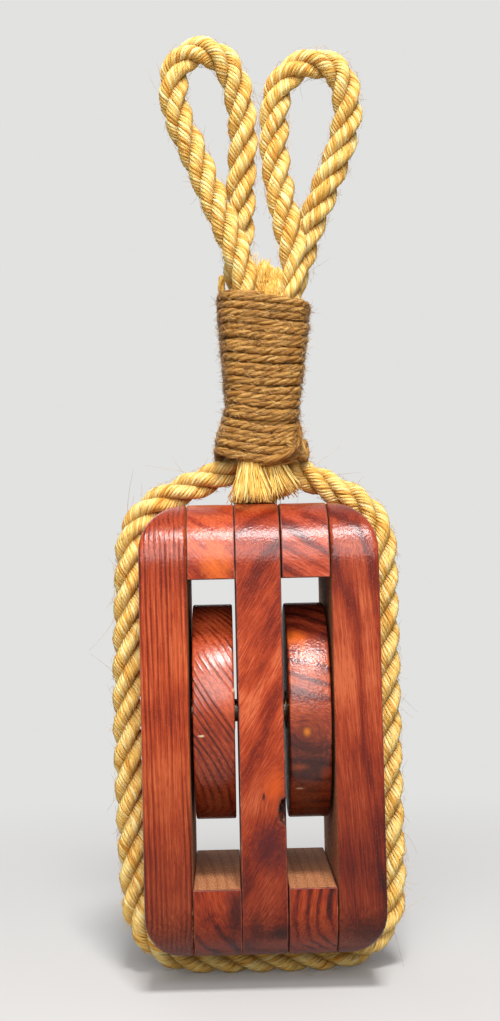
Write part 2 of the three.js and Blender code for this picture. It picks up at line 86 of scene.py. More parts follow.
# Strop. A half-inch, three-strand manila rope laid right-handed. It goes once round the
# shell in its score, and both legs stand in the middle of the seizing, where their cut
# ends show between the eyes.
rope_thickness = 0.0127
rope_lay = 0.0375
yarn_lay = 0.019
yarns_in_strand = 12
seizing_foot = pin_height + 0.1032
seizing_length = 0.069
seizing_head = seizing_foot + seizing_length
seizing_standoff = 0.0178
seizing_shift = 0.005
eye_rise = 0.1081
depth_axis = np.array([0.0, 1.0, 0.0])
height_axis = np.array([0.0, 0.0, 1.0])
strop_left_leg_shares = [
    (0.1, -0.42, 1.15), (0.05, -0.4, 1.08), (-0.08, -0.28, 1.0), (-0.34, -0.04, 0.88),
    (-0.5, 0, 0.65), (-0.5, 0, 0.243), (-0.55, 0, 0.128), (-0.66, 0, 0.05),
    (-1.2, 0, -0.13), (-2.1, 0, -0.4),
]
strop_right_leg_shares = [
    (1.8, 0, -0.47), (1.1, 0, -0.19), (0.7, 0, 0.05), (0.54, 0, 0.128),
    (0.485, 0, 0.243), (0.5, 0, 0.65), (0.55, -0.04, 0.88), (0.5, -0.28, 1.0),
    (0.5, -0.42, 1.08), (0.5, -0.45, 1.125),
]
strop_width_shares = ((-0.35, 0.05, 0.7, 1.0, 1.15), (0.5, 0.46, 0.475, 0.3, 0.25))
strop_depth_shares = ((0.03, 0.12, 0.7, 1.15), (0.5, 0.386, 0.386, 0.33))
corner_round = 0.0188
strop_sunk = 0.0007
strop_bow = 0.0022
lap_turn = corner_round + rope_thickness / 2 - strop_sunk


def height_on_rope(share):
    if share < 0:
        return seizing_foot + share * seizing_standoff
    if share > 1:
        return seizing_head + (share - 1) * eye_rise
    return seizing_foot + share * seizing_length


def share_of_height(z):
    below = (z - seizing_foot) / seizing_standoff
    above = 1 + (z - seizing_head) / eye_rise
    middle = (z - seizing_foot) / seizing_length
    return np.where(z < seizing_foot, below, np.where(z > seizing_head, above, middle))


def rope_points(shares):
    return [
        (seizing_shift + across * rope_thickness, deep * rope_thickness, height_on_rope(height))
        for across, deep, height in shares
    ]


def corner_points(x, z, start, end):
    turns = [math.radians(start + (end - start) * step / 6) for step in range(7)]
    return [(x + lap_turn * math.cos(turn), 0, z + lap_turn * math.sin(turn)) for turn in turns]


def smooth_route(points, gap):
    """Evenly spaced points on one smooth curve through the given ones, and their distances."""
    p = np.array(points, float)
    p = np.vstack([2 * p[0] - p[1], p, 2 * p[-1] - p[-2]])
    fine = []
    for p0, p1, p2, p3 in zip(p, p[1:], p[2:], p[3:]):
        t1 = np.linalg.norm(p1 - p0) ** 0.5
        t2 = t1 + np.linalg.norm(p2 - p1) ** 0.5
        t3 = t2 + np.linalg.norm(p3 - p2) ** 0.5
        t = np.linspace(t1, t2, 16, endpoint=False)[:, None]
        a1 = (t1 - t) / t1 * p0 + t / t1 * p1
        a2 = (t2 - t) / (t2 - t1) * p1 + (t - t1) / (t2 - t1) * p2
        a3 = (t3 - t) / (t3 - t2) * p2 + (t - t2) / (t3 - t2) * p3
        b1 = (t2 - t) / t2 * a1 + t / t2 * a2
        b2 = (t3 - t) / (t3 - t1) * a2 + (t - t1) / (t3 - t1) * a3
        fine.append((t2 - t) / (t2 - t1) * b1 + (t - t1) / (t2 - t1) * b2)
    fine = np.vstack(fine + [p[-2:-1]])
    run = np.concatenate([[0], np.cumsum(np.linalg.norm(np.diff(fine, axis=0), axis=1))])
    along = np.linspace(0, run[-1], max(int(run[-1] / gap), 4))
    return np.column_stack([np.interp(along, run, fine[:, axis]) for axis in range(3)]), along


def frame_on_route(route, upright):
    tangent = np.gradient(route, axis=0)
    tangent /= np.linalg.norm(tangent, axis=1)[:, None]
    high = upright - tangent * (tangent @ upright)[:, None]
    high /= np.linalg.norm(high, axis=1)[:, None]
    return tangent, high, np.cross(high, tangent)


def make_piece(name, vertices, faces):
    """A smooth-shaded mesh object at the origin, with its place in its mesh."""
    mesh = bpy.data.meshes.new(name)
    mesh.from_pydata(np.asarray(vertices).tolist(), [], faces)
    mesh.polygons.foreach_set("use_smooth", [True] * len(mesh.polygons))
    piece = bpy.data.objects.new(name, mesh)
    bpy.context.scene.collection.objects.link(piece)
    return piece


def mark(piece, name, values):
    """Writes one number for each point of a mesh, for its finish to read."""
    piece.data.attributes.new(name, "FLOAT", "POINT").data.foreach_set("value", np.ravel(values))


def laid_rope(name, route, along, half_width, half_depth, upright, lay, yarns, yarn_lay, sides, seed):
    """Three strands laid along a route, right-handed if the lay is above 0, each a ring of yarns
    twisted the other way. A yarn is a closed tube; where a strand has one yarn, it is the tube."""
    luck = np.random.default_rng(seed)
    tangent, high, wide = frame_on_route(route, upright)
    strand_reach = 0.4 if yarns == 1 else 0.47
    strand_size = 1 - strand_reach
    squeeze = math.sin(math.pi / yarns)
    yarn_size = strand_size if yarns == 1 else strand_size * squeeze / (1 + squeeze)
    tubes = yarns if yarns == 1 else yarns + 1
    count, rings, s = 3 * tubes, len(along), along[:, None]
    strand, yarn = np.repeat(np.arange(3), tubes), np.tile(np.arange(tubes), 3)
    core = (yarn == yarns) * 1.0
    swing = 0.06 * np.sin(2 * np.pi * s / 0.031 + luck.uniform(0, 6, count))
    uneven = (0.5 * np.sin(s / 0.0052) + 0.35 * np.sin(s / 0.0023 + 2)) if yarns == 1 else 0
    turn = 2 * np.pi * (s / lay + strand / 3) + uneven
    twist = 2 * np.pi * (yarn / yarns - s / yarn_lay) + strand * 1.3 + swing
    plump = 1 if yarns == 1 else 1.36
    size = yarn_size * plump * luck.uniform(0.88, 1.12, count)
    size = np.where(core, strand_size * 0.8, size)
    bulge_gap, bulge_start = luck.uniform(0.006, 0.019, count), luck.uniform(0, 6, count)
    size = size * (1 + 0.06 * np.sin(2 * np.pi * s / bulge_gap + bulge_start))
    out = (strand_size - yarn_size) * (1 - core)
    middle_x = strand_reach * np.cos(turn) + out * np.cos(twist)
    middle_y = strand_reach * np.sin(turn) + out * np.sin(twist)
    around = 2 * np.pi * np.arange(sides) / sides
    x = middle_x[:, :, None] + size[:, :, None] * np.cos(around)
    y = middle_y[:, :, None] + size[:, :, None] * np.sin(around)
    skin = (
        route[:, None, None, :]
        + wide[:, None, None, :] * (x * half_width[:, None, None])[..., None]
        + high[:, None, None, :] * (y * half_depth[:, None, None])[..., None]
    )
    ring, tube, side = (part.ravel() for part in np.meshgrid(
        np.arange(rings - 1), np.arange(count), np.arange(sides), indexing="ij",
    ))
    near = (ring * count + tube) * sides
    far = near + count * sides
    beside = (side + 1) % sides
    quads = np.column_stack([near + side, near + beside, far + beside, far + side])
    feet = [tuple(tube * sides + side for side in reversed(range(sides))) for tube in range(count)]
    last = (rings - 1) * count * sides
    tips = [tuple(last + tube * sides + side for side in range(sides)) for tube in range(count)]
    rope = make_piece(name, skin.reshape(-1, 3), quads.tolist() + feet + tips)
    girth = half_width.max() * yarn_size * 2 * np.pi
    here, there = along[ring], along[ring + 1]
    u = np.column_stack([side, side + 1, side + 1, side]) / sides * girth + (tube * 0.0137)[:, None]
    v = np.column_stack([here, here, there, there]) + (tube * 0.171)[:, None]
    yarn_map = np.zeros((u.size + 2 * count * sides, 2))
    yarn_map[:u.size] = np.column_stack([u.ravel(), v.ravel()])
    rope.data.uv_layers.new(name="yarn").data.foreach_set("uv", yarn_map.ravel())
    # Painted shade: how deep each point lies in the grooves, so the finish can darken it there.
    mark(rope, "groove_shade", np.clip((0.86 - np.hypot(x, y)) / 0.36, 0, 1))
    mark(rope, "luck", np.broadcast_to(luck.uniform(0, 1, count)[None, :, None], x.shape))
    return rope


def colour(red, green, blue):
    """A colour as a person reads it off a sheet, made linear for the shader."""
    parts = [part / 255 for part in (red, green, blue)]
    linear = (part / 12.92 if part <= 0.04045 else ((part + 0.055) / 1.055) ** 2.4 for part in parts)
    return (*linear, 1)


def finish_named(name, roughness, looks={}):
    """A new finish and its nodes; the looks are values for the shader's other sockets."""
    finish = bpy.data.materials.new(name)
    finish.use_nodes = True
    for socket, value in {"Roughness": roughness, **looks}.items():
        finish.node_tree.nodes["Principled BSDF"].inputs[socket].default_value = value
    return finish, finish.node_tree


def put(kind, inputs, tree=None, output=0, **settings):
    """Adds a shader node, sets it up, joins or fills its sockets and gives back one output. The
    tree is the one that its inputs come from, unless another is given."""
    joined = {key: value for key, value in inputs.items() if isinstance(value, bpy.types.NodeSocket)}
    tree = tree or next(iter(joined.values())).id_data
    made = tree.nodes.new("ShaderNode" + kind)
    for key, value in settings.items():
        setattr(made, key, value)
    for key, value in inputs.items():
        if key in joined:
            tree.links.new(value, made.inputs[key])
        else:
            made.inputs[key].default_value = value
    return made.outputs[output]


def join(output, socket):
    tree = output.id_data
    tree.links.new(output, tree.nodes["Principled BSDF"].inputs[socket])


def emboss(height, distance, strength, socket="Normal"):
    inputs = {"Height": height, "Distance": distance, "Strength": strength}
    join(put("Bump", inputs), socket)


def at_object(tree):
    return put("TexCoord", {}, tree, "Object")


def own_value(tree, name):
    return put("Attribute", {}, tree, "Fac", attribute_name=name)


def sums(operation, *values):
    return put("Math", dict(enumerate(values)), operation=operation)


def scaled(value, times, plus=0.0):
    return sums("MULTIPLY_ADD", value, times, plus)


def mixed(factor, first, second, how="MIX"):
    inputs = {0: factor, 6: first, 7: second}
    return put("Mix", inputs, output=2, data_type="RGBA", blend_type=how)


def noise(place, scale, detail=2.0, roughness=0.5, output="Fac"):
    inputs = {"Vector": place, "Scale": scale, "Detail": detail, "Roughness": roughness}
    return put("TexNoise", inputs, output=output)


def stretched_noise(place, stretch, detail=2.0, roughness=0.5):
    moved = put("Mapping", {"Vector": place, "Scale": stretch})
    return noise(moved, 1.0, detail, roughness)


def shades(value, *stops):
    """A run of colours; a stop is its place from 0 to 1, red, green and blue."""
    shade = put("ValToRGB", {0: value})
    ramp = shade.node.color_ramp
    while len(ramp.elements) < len(stops):
        ramp.elements.new(0.5)
    for element, (place, *tone) in zip(ramp.elements, stops):
        element.position = place
        element.color = colour(*tone)
    return shade


def paint(value, *stops):
    join(shades(value, *stops), "Base Color")


def yarn_finish(name, fibre_width, roughness, groove_shade_tone, *stops):
    """Laid vegetable fibre: fine fibres along each yarn, no two yarns alike, and painted shade that darkens
    the grooves.
    """
    finish, tree = finish_named(name, roughness, {"Specular IOR Level": 0.16})
    place = put("UVMap", {}, tree, uv_map="yarn")
    slow = stretched_noise(place, (0.2 / fibre_width, 45, 1))
    fibre = stretched_noise(place, (1 / fibre_width, 130, 1), 3.0, 0.6)
    tone = scaled(own_value(tree, "luck"), 0.42, scaled(fibre, 1.5, -0.68))
    straw = shades(scaled(slow, 0.55, tone), *stops)
    # Painted shade: deeper in the grooves, the colour goes towards the groove shade tone.
    groove_shade = scaled(own_value(tree, "groove_shade"), 0.65)
    join(mixed(groove_shade, straw, colour(*groove_shade_tone)), "Base Color")
    emboss(fibre, fibre_width, 0.9)
    return finish


def fix(piece, slot, node=None, body="shell"):
    """Hides the plain solid that a piece stands for and hangs the piece on the body it moves with; the slot
    is not used.
    """
    if node:
        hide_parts(node)
    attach(piece, body)


def dress(piece, finish, *where):
    piece.data.materials.clear()
    piece.data.materials.append(finish)
    fix(piece, *where)


left_low, left_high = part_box("left_cheek")
right_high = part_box("right_cheek")[1]
left_corner = left_low.x + corner_round
right_corner = right_high.x - corner_round
upper_corner = left_high.z - corner_round
lower_corner = left_low.z + corner_round
side_run = lower_corner - upper_corner
strop_points = (
    rope_points(strop_left_leg_shares)
    + corner_points(left_corner, upper_corner, 114, 180)
    + [
        (left_corner - lap_turn - strop_bow * math.sin(share * math.pi), 0, upper_corner + side_run * share)
        for share in (0.25, 0.5, 0.75)
    ]
    + corner_points(left_corner, lower_corner, 180, 270)
    + corner_points(right_corner, lower_corner, 270, 360)
    + [(right_corner + lap_turn, 0, upper_corner + side_run * share) for share in (0.67, 0.33)]
    + corner_points(right_corner, upper_corner, 0, 61)
    + rope_points(strop_right_leg_shares)
)
strop_route, strop_run = smooth_route(strop_points, 0.0017)
strop_shares = share_of_height(strop_route[:, 2])


def rounded_ends(run, reach):
    """Draws a rope's cut ends in to a blunt dome."""
    from_end = np.minimum(run, run[-1] - run)
    return np.sqrt(np.clip(from_end / reach, 0.03, 1) * (2 - np.clip(from_end / reach, 0.03, 1)))


strop_dome = rounded_ends(strop_run, 0.0042)
strop = laid_rope(
    "strop_manila", strop_route, strop_run,
    rope_thickness * np.interp(strop_shares, *strop_width_shares) * strop_dome,
    rope_thickness * np.interp(strop_shares, *strop_depth_shares) * strop_dome,
    depth_axis, rope_lay, yarns_in_strand, yarn_lay, sides=5, seed=11,
)
manila = yarn_finish(
    # The first colour is the painted shade tone for the grooves.
    "manila", 0.0003, 0.5, (132, 72, 18),
    (0.08, 158, 90, 24), (0.32, 222, 160, 66), (0.58, 248, 208, 114), (0.92, 255, 244, 184),
)
dress(strop, manila, "rope", "strop_rope")

# Eyes. Two lengths of the same manila, each bent into a standing eye. Each comes up the
# front of the seizing, goes over its crown, behind its own front leg and down the back.
left_eye_shares = [
    (-0.61, -1.0, 0.1), (-0.55, -0.84, 0.128), (-0.46, -0.8, 0.243), (-0.46, -0.79, 0.65),
    (-0.5, -0.76, 0.94), (-0.58, -0.71, 1.072), (-0.82, -0.6, 1.183),
    (-1.23, -0.44, 1.313), (-1.75, -0.2, 1.464), (-2.2, -0.08, 1.6),
    (-2.62, -0.05, 1.716), (-2.83, -0.03, 1.831), (-2.71, -0.02, 1.927),
    (-2.31, 0, 1.987), (-1.73, 0.02, 2), (-1.17, 0.05, 1.969),
    (-0.78, 0.08, 1.895), (-0.59, 0.09, 1.796), (-0.51, 0.11, 1.697),
    (-0.53, 0.16, 1.588), (-0.61, 0.25, 1.473), (-0.63, 0.39, 1.377),
    (-0.69, 0.52, 1.276), (-0.8, 0.63, 1.165), (-0.68, 0.73, 1.054),
    (-0.5, 0.772, 0.94), (-0.46, 0.79, 0.65), (-0.46, 0.8, 0.243), (-0.5, 0.84, 0.128),
]
right_eye_shares = [
    (0.31, -0.92, 0.1), (0.37, -0.84, 0.128), (0.43, -0.8, 0.243), (0.52, -0.79, 0.65),
    (0.8, -0.76, 0.94), (1.02, -0.71, 1.06), (1.06, -0.58, 1.165),
    (0.94, -0.5, 1.257), (0.77, -0.36, 1.36), (0.62, -0.22, 1.47),
    (0.52, -0.11, 1.586), (0.53, -0.06, 1.692), (0.62, -0.03, 1.803),
    (0.92, -0.02, 1.886), (1.4, 0, 1.93), (2.09, 0.02, 1.947),
    (2.77, 0.05, 1.905), (3.02, 0.06, 1.794), (2.95, 0.09, 1.69),
    (2.68, 0.14, 1.581), (2.34, 0.22, 1.488), (1.98, 0.31, 1.384),
    (1.66, 0.43, 1.294), (1.41, 0.54, 1.202), (1.21, 0.63, 1.109),
    (0.86, 0.765, 0.94), (0.71, 0.785, 0.65), (0.43, 0.8, 0.243), (0.36, 0.84, 0.128),
]
eye_width_shares = {
    "left": ((0.13, 0.92, 1.06, 1.18), (0.415, 0.4, 0.43, 0.5)),
    "right": ((0.13, 0.92, 1.06, 1.2), (0.415, 0.38, 0.38, 0.5)),
}
eye_depth_shares = ((0.0, 0.97, 1.08), (0.386, 0.386, 0.5))
eye_runs = {}
for side, eye_shares, seed in (("left", left_eye_shares, 21), ("right", right_eye_shares, 22)):
    route, run = smooth_route(rope_points(eye_shares), 0.0015)
    shares = share_of_height(route[:, 2])
    eye = laid_rope(
        side + "_eye_manila", route, run,
        rope_thickness * np.interp(shares, *eye_width_shares[side]),
        rope_thickness * np.interp(shares, *eye_depth_shares),
        depth_axis, rope_lay, yarns_in_strand, yarn_lay, sides=5, seed=seed,
    )
    dress(eye, manila, "rope", side + "_eye_rope")
    eye_runs[side] = route

# Frayed ends. Below the seizing each eye rope is opened out into a short brush of loose
# fibre that is cut off just above the shell. The front pair shows; the back pair matches.
loose_fibre, tree = finish_named("loose_fibre", 0.7, {"Specular IOR Level": 0.15})
streak = stretched_noise(at_object(tree), (2600, 2600, 300))
straw = scaled(own_value(tree, "shade"), 0.75, scaled(streak, 0.3))
paint(straw, (0.0, 200, 130, 46), (0.4, 246, 202, 102), (1.0, 255, 238, 166))


def tube_faces(rings, sides):
    """The walls of one tube and the two faces that close it, as numbers of its corners."""
    walls = []
    for ring in range(rings - 1):
        for side in range(sides):
            here, beside = ring * sides + side, ring * sides + (side + 1) % sides
            walls.append((here, beside, beside + sides, here + sides))
    foot = tuple(reversed(range(sides)))
    tip = tuple((rings - 1) * sides + side for side in range(sides))
    return walls, [foot, tip]


def fibre_bunch(name, paths, thickness, shade, sides=4):
    """Many thin tapering fibres in one mesh: paths holds one row of points for each."""
    count, steps = paths.shape[:2]
    tangent = np.gradient(paths, axis=1)
    tangent /= np.linalg.norm(tangent, axis=2)[:, :, None] + 1e-12
    guide = np.where(np.abs(tangent[:, :1, 2:3]) > 0.8, [[[1.0, 0, 0]]], [[[0, 0, 1.0]]])
    first = np.cross(tangent, guide)
    first /= np.linalg.norm(first, axis=2)[:, :, None] + 1e-12
    second = np.cross(tangent, first)
    taper = np.linspace(1, 0.45, steps)[None, :, None] * thickness[:, None, None] / 2
    rings = []
    for turn in np.arange(sides) * 2 * np.pi / sides:
        rings.append(paths + taper * (first * math.cos(turn) + second * math.sin(turn)))
    vertices = np.stack(rings, axis=2).reshape(-1, 3)
    each = steps * sides
    faces = [
        tuple(index + fibre * each for index in face)
        for part in tube_faces(steps, sides) for fibre in range(count) for face in part
    ]
    bunch = make_piece(name, vertices, faces)
    mark(bunch, "shade", np.repeat(shade, each))
    return bunch


shell_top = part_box("left_head_spacer")[1].z
fray_foot = seizing_foot + 0.006
fray_tip = shell_top + 0.0016
fray_depth = 0.0036


def oval_luck(luck, count):
    """Random places within a circle of radius 1, and how far out each lies."""
    turn, out = luck.uniform(0, 2 * np.pi, count), np.sqrt(luck.uniform(0, 1, count))
    return np.column_stack([np.cos(turn) * out, np.sin(turn) * out]), out


def frayed_end(name, foot, foot_width, tip, lift, tip_size, tilt, count, seed):
    """Clumps of fibres from an oval in the seizing's foot to a wider oval just over the
    shell; tilt is how much higher the tips end for each step to the right."""
    luck = np.random.default_rng(seed)
    spot = oval_luck(luck, count)[0]
    clumps_across = 2.8
    clump = np.round(spot * clumps_across) / clumps_across
    start = np.array([*foot, fray_foot]) + np.column_stack([spot * [foot_width, fray_depth], np.zeros(count)])
    tip_spot = spot * 0.65 + clump * 0.35 + luck.normal(0, 0.11, (count, 2))
    across = tip_spot * np.array(tip_size)
    higher = luck.normal(0, 0.0011, count) + tilt * across[:, 0]
    end = np.array([*tip, fray_tip + lift]) + np.column_stack([across, higher])
    end[:, 2] = np.maximum(end[:, 2], shell_top + 0.0005)
    t = np.linspace(0, 1, 8)[None, :, None]
    sag = t ** luck.uniform(1.1, 1.8, (count, 1, 1))
    paths = start[:, None] + (end - start)[:, None] * np.concatenate([sag, sag, t + 0 * sag], axis=2)
    paths[:, 1:, :2] += np.cumsum(luck.normal(0, 0.00026, (count, 7, 2)), axis=1)
    return fibre_bunch(name, paths, luck.uniform(0.0005, 0.001, count), luck.uniform(0, 1, count))


tufts = (
    ("left_front", (-0.0016, -0.013), 0.0032, (-0.0012, -0.0175), 0, (0.0088, 0.005), 0, 520),
    ("right_front", (0.0062, -0.012), 0.0036, (0.0112, -0.0135), 0.0026, (0.0075, 0.005), 0.42, 480),
    ("left_back", (-0.001, 0.012), 0.0036, (-0.001, 0.0145), 0, (0.0072, 0.0048), 0, 400),
    ("right_back", (0.0054, 0.012), 0.0036, (0.0036, 0.0145), 0, (0.0052, 0.0048), 0, 400),
)
for number, (name, *shape) in enumerate(tufts):
    dress(frayed_end(name + "_fray", *shape, 31 + number), loose_fibre, "rope")

# Cut ends. The strop's two ends are cut off square between the eyes and have begun to
# open, and one strand of the left eye's rope has sprung loose beside the seizing's head.
between_ends = (strop_route[5] + strop_route[-6]) / 2
brushes = (
    ("left_cut_end", strop_route[4], (0.0034, 0.0036), 0.0092, 460, 36),
    ("right_cut_end", strop_route[-5], (0.0034, 0.0036), 0.0084, 460, 37),
    ("packed_fibre", between_ends - [0, 0.0022, 0.0055], (0.0048, 0.0026), 0.0108, 420, 39),
    ("cut_end_wisps", strop_route[4] - [0.0024, 0, 0], (0.0058, 0.004), 0.0135, 34, 40),
)
for name, place, size, reach, count, seed in brushes:
    luck = np.random.default_rng(seed)
    spot, out = oval_luck(luck, count)
    spot = np.column_stack([spot * size, np.zeros(count)])
    rise = reach * luck.uniform(0.6, 1.12, count) * (1.08 - 0.4 * out)
    flare = spot * luck.uniform(0.05, 0.45, (count, 1)) + luck.normal(0, 0.0004, (count, 3))
    t = np.linspace(0, 1, 6)[None, :, None]
    climb = rise[:, None] * height_axis
    paths = place + spot[:, None] - [0, 0, 0.0025] + climb[:, None] * t + flare[:, None] * t ** 1.6
    brush = fibre_bunch(name, paths, luck.uniform(0.00035, 0.0006, count), luck.uniform(0, 0.6, count))
    dress(brush, loose_fibre, "rope")
sprung_points = [
    (-0.0098, 0.003, seizing_head - 0.004), (-0.0112, 0.002, seizing_head + 0.003),
    (-0.0121, 0.0008, seizing_head + 0.008), (-0.0116, -0.0002, seizing_head + 0.0118),
]
sprung_route, sprung_run = smooth_route(sprung_points, 0.0006)
sprung_size = 0.0016 * rounded_ends(sprung_run, 0.0024)
sprung = laid_rope(
    "sprung_strand", sprung_route, sprung_run, sprung_size, sprung_size, depth_axis,
    lay=0.02, yarns=5, yarn_lay=0.012, sides=6, seed=38,
)
dress(sprung, manila, "rope")

# Seizing. One length of brown three-ply jute twine, wound tightly in twenty-two turns
# about the six legs of rope, over a first layer. Its turns lie unevenly and dip in front.
twine_thickness = 0.0031
twine_lay = -0.0148
seizing_turns = 22
twine_foot = seizing_foot - 0.0008
twine_length = seizing_length + 0.0008
bundle_middle_shares = ((0.05, 0.2, 0.3, 0.6, 0.95), (-0.25, -0.13, -0.07, -0.01, 0.035))
bundle_width_shares = (
    (0, 0.1, 0.2, 0.29, 0.4, 0.62, 0.84, 0.95, 1),
    (1.2, 1.15, 1.05, 0.97, 1.03, 1.14, 1.25, 1.29, 1.31),
)
bundle_depth_shares = ((0, 0.1, 0.18, 0.9, 1), (1.34, 1.26, 1.2, 1.18, 1.21))
turn_slope_shares = ((0, 0.3, 0.6, 0.85, 1), (0.0, 0.03, 0.05, 0.1, 0.15))
side_lift = 0.0065
dip_angle = 0.28


def on_bundle(share, angle, outside):
    """Points round the legs of rope: how far up, the angle from +X, how far outside."""
    half_width = rope_thickness * np.interp(share, *bundle_width_shares) + outside
    half_depth = rope_thickness * np.interp(share, *bundle_depth_shares) + outside
    middle = seizing_shift + rope_thickness * np.interp(share, *bundle_middle_shares)
    reach = (np.abs(np.cos(angle) / half_width) ** 4 + np.abs(np.sin(angle) / half_depth) ** 4) ** -0.25
    lift = side_lift * (1 - np.abs(np.sin(angle - dip_angle)) ** 1.5)
    slope = np.interp(share, *turn_slope_shares) * reach * np.cos(angle)
    z = twine_foot + lift + share * (twine_length - lift) - slope
    return np.column_stack([middle + reach * np.cos(angle), reach * np.sin(angle), z])


def laid_twine(name, route, run, size, upright, sides, seed, oval=1.0):
    """Three plies with one yarn in each."""
    return laid_rope(name, route, run, size, size * oval, upright, twine_lay, 1, twine_lay, sides, seed)


def wound_twine(name, outside, start_angle, turns, sides, gap, seed):
    luck = np.random.default_rng(seed)
    angle = start_angle + 2 * np.pi * np.linspace(0, turns, turns * 24 + 1)
    share = np.linspace(0, 1, len(angle))
    wavers = turns * 5 + 1
    wander = [np.interp(share, np.linspace(0, 1, wavers), row) for row in luck.normal(0, 1, (2, wavers))]
    calm = np.clip(np.minimum(share, 1 - share) * 20, 0, 1)
    points = on_bundle(share, angle, outside + 0.00034 * np.abs(wander[0]))
    points[:, 2] += 0.0005 * wander[1] * calm
    route, run = smooth_route(points, gap)
    size = twine_thickness / 2 * (1 + 0.12 * np.sin(run / 0.0083) * np.sin(run / 0.031 + seed))
    return laid_twine(name, route, run, size, height_axis, sides, seed, 1.08), route


jute = yarn_finish(
    # The first colour is the painted shade tone for the grooves.
    "jute", 0.0002, 0.45, (40, 20, 6),
    (0.05, 70, 38, 10), (0.34, 130, 82, 30), (0.58, 172, 120, 54), (0.9, 222, 176, 102),
)
seizing, winding_route = wound_twine("jute_seizing", 0.0015, math.pi / 2, seizing_turns, 8, 0.00115, 42)
dress(seizing, jute, "twine", "seizing_twine")
first_layer = wound_twine("jute_first_layer", -0.0003, math.pi * 1.5, seizing_turns - 1, 5, 0.002, 45)[0]
dress(first_layer, jute, "twine")

# Riding end and hitch. The twine's end comes up over the last turns at the front right,
# bends over and is made off in a small hitch at the right.
riding_shares = (
    (0.0, -86, 0.0018), (0.015, -70, 0.0034), (0.045, -57, 0.0043), (0.09, -48, 0.0044),
    (0.14, -43, 0.0042), (0.19, -41, 0.0038), (0.215, -40, 0.0034),
)
riding_points = np.vstack([
    on_bundle(np.array([share]), np.array([math.radians(turn)]), outside)
    for share, turn, outside in riding_shares
])
riding_route, riding_run = smooth_route(riding_points, 0.0009)
riding_size = twine_thickness / 2 * np.linspace(0.9, 0.6, len(riding_run)) * rounded_ends(riding_run, 0.0012)
riding = laid_twine("jute_riding_end", riding_route, riding_run, riding_size, height_axis, 8, 43)
dress(riding, jute, "twine", "twine_riding_end")


def from_pin(x, y, z):
    """A place given in millimetres to the right of, behind and above the pin's middle."""
    return x / 1000, y / 1000, pin_height + z / 1000


hitch_places = (
    (12.6, -17.2, 111.6), (14.8, -16.9, 109.8), (17.2, -15, 107.6), (20.3, -9, 105), (22.2, -3, 106.2),
    (22.4, 1, 110), (21.2, -2, 112.4), (20.8, -5, 109.6), (21.6, -4.6, 106), (21.8, -1, 103.2),
)
hitch_route, hitch_run = smooth_route([from_pin(*place) for place in hitch_places], 0.0008)
hitch_up = np.array([0.3, 0.9, 0.3])
hitch_size = 0.0013 * rounded_ends(hitch_run, 0.0014)
hitch = laid_twine("jute_hitch", hitch_route, hitch_run, hitch_size, hitch_up, 8, 44)
dress(hitch, jute, "twine", "twine_knot")

# Stray fibres. Manila and jute are hairy: short fibres work loose all over the ropes and
# the twine and stand out from them.


def hair_finish(name, roughness, *stops):
    finish, tree = finish_named(name, roughness)
    paint(own_value(tree, "shade"), *stops)
    return finish


def stray_fibres(name, route, upright, radius, count, lengths, spring, thickness, seed, first=0.0, last=1.0):
    """Loose fibres rooted on a rope's skin: spring is how far they stand off it."""
    luck = np.random.default_rng(seed)
    tangent, high, wide = frame_on_route(route, upright)
    index = luck.integers(int(first * (len(route) - 4)) + 2, int(last * (len(route) - 2)), count)
    turn = luck.uniform(0, 2 * np.pi, count)[:, None]
    out = wide[index] * np.cos(turn) + high[index] * np.sin(turn)
    lean = (
        out * luck.uniform(0.3 * spring, spring, (count, 1))
        + tangent[index] * luck.choice([-1, 1], (count, 1)) * luck.uniform(0.5, 1, (count, 1))
        + np.cross(tangent[index], out) * luck.uniform(-0.6, 0.6, (count, 1))
    )
    lean /= np.linalg.norm(lean, axis=1)[:, None]
    shortest, longest = lengths
    length = shortest + (longest - shortest) * luck.uniform(0, 1, (count, 1)) ** 2
    curl = luck.normal(0, 0.3, (count, 3)) - out * 0.25 * (1 - spring)
    steps = 4 if longest < 0.0065 else 7
    t = np.linspace(0, 1, steps)[None, :, None]
    root = route[index] + out * radius * luck.uniform(0.94, 1.03, (count, 1))
    paths = root[:, None] + length[:, None] * (lean[:, None] * t + curl[:, None] * t ** 2)
    return fibre_bunch(name, paths, np.full(count, thickness), luck.uniform(0, 1, count), 3)


stray_fibre = hair_finish("stray_fibre", 0.65, (0.0, 170, 118, 50), (1.0, 236, 200, 124))
rope_hairs = [
    ("strop_fuzz", strop_route, 2600, (0.0015, 0.006), 0.35, 0.00016, 51, 0.06, 0.94),
    ("strop_strays", strop_route, 170, (0.003, 0.014), 1.0, 0.00015, 52, 0.1, 0.9),
]
for side, seed in (("left", 53), ("right", 55)):
    rope_hairs += [
        (side + "_eye_fuzz", eye_runs[side], 900, (0.0015, 0.005), 0.35, 0.00015, seed, 0.2, 0.8),
        (side + "_eye_strays", eye_runs[side], 60, (0.003, 0.009), 1.0, 0.00014, seed + 1, 0.2, 0.8),
    ]
for name, route, *shape in rope_hairs:
    hairs = stray_fibres(name, route, depth_axis, rope_thickness / 2, *shape)
    dress(hairs, stray_fibre, "rope")
jute_fibre = hair_finish("jute_fibre", 0.6, (0.0, 84, 50, 18), (0.5, 178, 124, 58), (1.0, 246, 206, 134))
half_twine = twine_thickness / 2
twine_hairs = (
    ("twine_fuzz", winding_route, height_axis, half_twine, 9000, (0.0015, 0.005), 0.32, 0.00016, 57),
    ("twine_down", winding_route, height_axis, half_twine, 9500, (0.0012, 0.0036), 0.14, 0.00022, 60),
    ("riding_end_fuzz", riding_route, height_axis, 0.001, 150, (0.0012, 0.0042), 0.6, 0.00014, 58, 0.45, 1.0),
    ("hitch_fuzz", hitch_route, hitch_up, 0.0011, 170, (0.0012, 0.0036), 0.7, 0.00014, 59),
)
for name, *shape in twine_hairs:
    dress(stray_fibres(name, *shape), jute_fibre, "twine")

